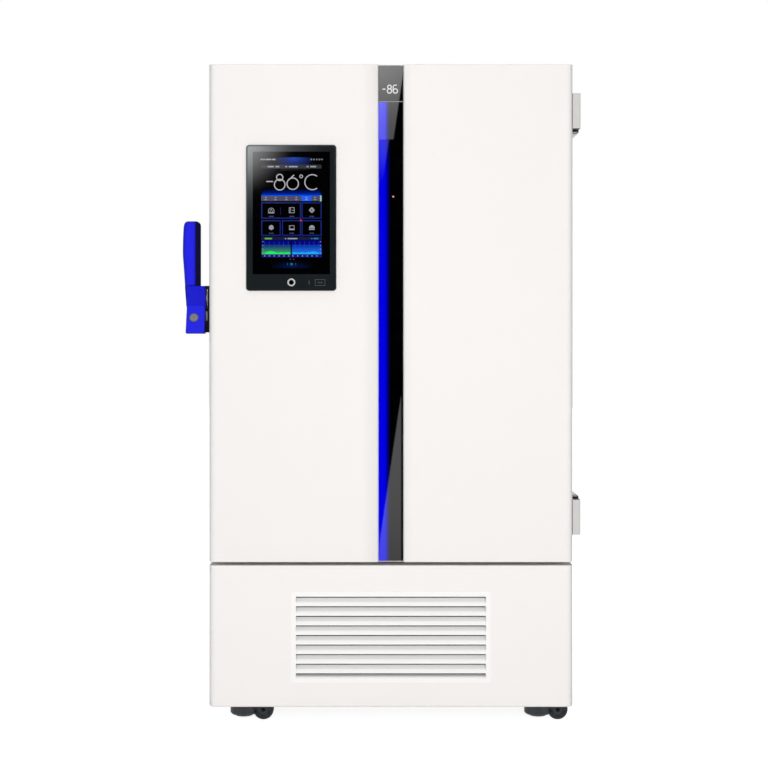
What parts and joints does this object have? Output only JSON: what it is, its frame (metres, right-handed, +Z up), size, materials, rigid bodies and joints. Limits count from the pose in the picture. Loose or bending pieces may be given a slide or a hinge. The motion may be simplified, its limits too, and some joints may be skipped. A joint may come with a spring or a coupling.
{
  "type": "ultra low temperature freezer",
  "caption": "Upright ultra low temperature freezer with a foamed outer door, inner doors, side lever latch, touch screen, louvred service panel and levelling casters.",
  "frame": {"origin": "middle of the footprint of everything, on the floor", "axes": "+Z up, the door faces -Y, the handle is on the -X side and the hinges on the +X side"},
  "size_m": [1.203, 0.9992, 1.99],
  "materials": {
    "white_paint": "satin",
    "galvanised": "satin",
    "stainless": "satin",
    "foam": "matte",
    "grey_frame": "satin",
    "white_plastic": "satin",
    "gasket": "matte",
    "gloss_black": "gloss",
    "blue_light": "gloss",
    "black_plastic": "satin",
    "screen": "gloss",
    "screen_glass": "gloss",
    "button": "satin",
    "cover_grey": "satin",
    "black_steel": "satin",
    "steel": "satin",
    "handle_blue": "satin",
    "grip_black": "matte",
    "lock_metal": "satin",
    "filter": "matte",
    "coil": "satin",
    "motor_black": "satin",
    "copper": "satin",
    "fork_grey": "satin",
    "wheel_black": "satin",
    "foot_rubber": "matte"
  },
  "bodies": {
    "cabinet": {"cabinet_shell": "white_paint", "rear_panel": "galvanised", "foam_tray": "galvanised", "insulation_foam": "foam", "inner_liner": "stainless", "breaker_frame": "grey_frame", "centre_rail": "grey_frame", "shelf_supports": "stainless", "shelves": "stainless", "base_frame": "galvanised", "service_panel": "white_paint", "grille": "white_plastic", "air_filter": "filter", "condenser_coil": "coil", "fan_shroud": "galvanised", "fan_motor": "motor_black", "compressor_high_stage": "motor_black", "compressor_low_stage": "motor_black", "refrigerant_pipes": "copper", "control_box": "galvanised", "port_plug": "white_plastic", "mains_inlet": "black_plastic", "hinge_brackets": "black_steel", "hinge_pins": "steel", "latch_striker": "steel"},
    "outer_door": {"door_shell": "white_paint", "door_foam": "foam", "door_liner": "white_plastic", "door_gasket": "gasket", "centre_strip": "gloss_black", "strip_light": "blue_light", "strip_display": "gloss_black", "screen_housing": "black_plastic", "screen_panel": "screen", "screen_glass": "screen_glass", "hinge_leaves": "black_steel", "hinge_covers": "cover_grey", "latch_base": "black_plastic", "lever_pivot": "steel"},
    "handle": {"handle_housing": "handle_blue", "handle_grip": "handle_blue", "grip_liner": "grip_black", "latch_cam": "steel"},
    "lock_core": {"lock_core": "lock_metal"},
    "home_button": {"home_button": "button"},
    "inner_door_lower": {"inner_door_lower": "white_plastic"},
    "inner_door_upper": {"inner_door_upper": "white_plastic"},
    "fan_blade": {"fan_blade": "black_plastic"},
    "caster_front_left": {"caster_fork_front_left": "fork_grey"},
    "wheel_front_left": {"caster_wheel_front_left": "wheel_black"},
    "foot_front_left": {"levelling_foot_front_left": "foot_rubber"},
    "caster_front_right": {"caster_fork_front_right": "fork_grey"},
    "wheel_front_right": {"caster_wheel_front_right": "wheel_black"},
    "foot_front_right": {"levelling_foot_front_right": "foot_rubber"},
    "caster_rear_left": {"caster_fork_rear_left": "fork_grey"},
    "wheel_rear_left": {"caster_wheel_rear_left": "wheel_black"},
    "caster_rear_right": {"caster_fork_rear_right": "fork_grey"},
    "wheel_rear_right": {"caster_wheel_rear_right": "wheel_black"}
  },
  "joints": [
    {"name": "outer_door_swing", "type": "hinge", "parent": "cabinet", "child": "outer_door", "pos_m": [0.58952, -0.4314, 1.2], "axis": [0, 0, 1], "range_deg": [0, 115]},
    {"name": "handle_lever", "type": "hinge", "parent": "outer_door", "child": "handle", "pos_m": [-0.53198, -0.4314, 1.289], "axis": [1, 0, 0], "range_deg": [0, 45]},
    {"name": "key_lock_turn", "type": "hinge", "parent": "handle", "child": "lock_core", "pos_m": [-0.56473, -0.46796, 1.2286], "axis": [0, -0.9285, 0.3714], "range_deg": [0, 90]},
    {"name": "home_button_press", "type": "slide", "parent": "outer_door", "child": "home_button", "axis": [0, 1, 0], "range_m": [0, 0.001], "stiffness_N_per_m": 500},
    {"name": "inner_door_lower_swing", "type": "hinge", "parent": "cabinet", "child": "inner_door_lower", "pos_m": [0.45082, -0.3574, 0.9], "axis": [0, 0, 1], "range_deg": [0, 92]},
    {"name": "inner_door_upper_swing", "type": "hinge", "parent": "cabinet", "child": "inner_door_upper", "pos_m": [0.45082, -0.3574, 1.55], "axis": [0, 0, 1], "range_deg": [0, 92]},
    {"name": "fan_spin", "type": "hinge", "parent": "cabinet", "child": "fan_blade", "pos_m": [0.03002, -0.3814, 0.26825], "axis": [0, 1, 0], "continuous": true},
    {"name": "caster_swivel_front_left", "type": "hinge", "parent": "cabinet", "child": "caster_front_left", "pos_m": [-0.41998, -0.3914, 0.072], "axis": [0, 0, 1], "continuous": true},
    {"name": "wheel_spin_front_left", "type": "hinge", "parent": "caster_front_left", "child": "wheel_front_left", "pos_m": [-0.35998, -0.3914, 0.031], "axis": [0, 1, 0], "continuous": true},
    {"name": "levelling_foot_front_left", "type": "slide", "parent": "caster_front_left", "child": "foot_front_left", "axis": [0, 0, -1], "range_m": [0, 0.0115]},
    {"name": "caster_swivel_front_right", "type": "hinge", "parent": "cabinet", "child": "caster_front_right", "pos_m": [0.48002, -0.3914, 0.072], "axis": [0, 0, 1], "continuous": true},
    {"name": "wheel_spin_front_right", "type": "hinge", "parent": "caster_front_right", "child": "wheel_front_right", "pos_m": [0.54002, -0.3914, 0.031], "axis": [0, 1, 0], "continuous": true},
    {"name": "levelling_foot_front_right", "type": "slide", "parent": "caster_front_right", "child": "foot_front_right", "axis": [0, 0, -1], "range_m": [0, 0.0115]},
    {"name": "caster_swivel_rear_left", "type": "hinge", "parent": "cabinet", "child": "caster_rear_left", "pos_m": [-0.41998, 0.3936, 0.072], "axis": [0, 0, 1], "continuous": true},
    {"name": "wheel_spin_rear_left", "type": "hinge", "parent": "caster_rear_left", "child": "wheel_rear_left", "pos_m": [-0.35998, 0.3936, 0.031], "axis": [0, 1, 0], "continuous": true},
    {"name": "caster_swivel_rear_right", "type": "hinge", "parent": "cabinet", "child": "caster_rear_right", "pos_m": [0.48002, 0.3936, 0.072], "axis": [0, 0, 1], "continuous": true},
    {"name": "wheel_spin_rear_right", "type": "hinge", "parent": "caster_rear_right", "child": "wheel_rear_right", "pos_m": [0.54002, 0.3936, 0.031], "axis": [0, 1, 0], "continuous": true}
  ],
  "couplings": [
    {"joint": "inner_door_lower_swing", "follows": "outer_door_swing", "ratio": 0.8},
    {"joint": "inner_door_upper_swing", "follows": "outer_door_swing", "ratio": 0.8}
  ]
}
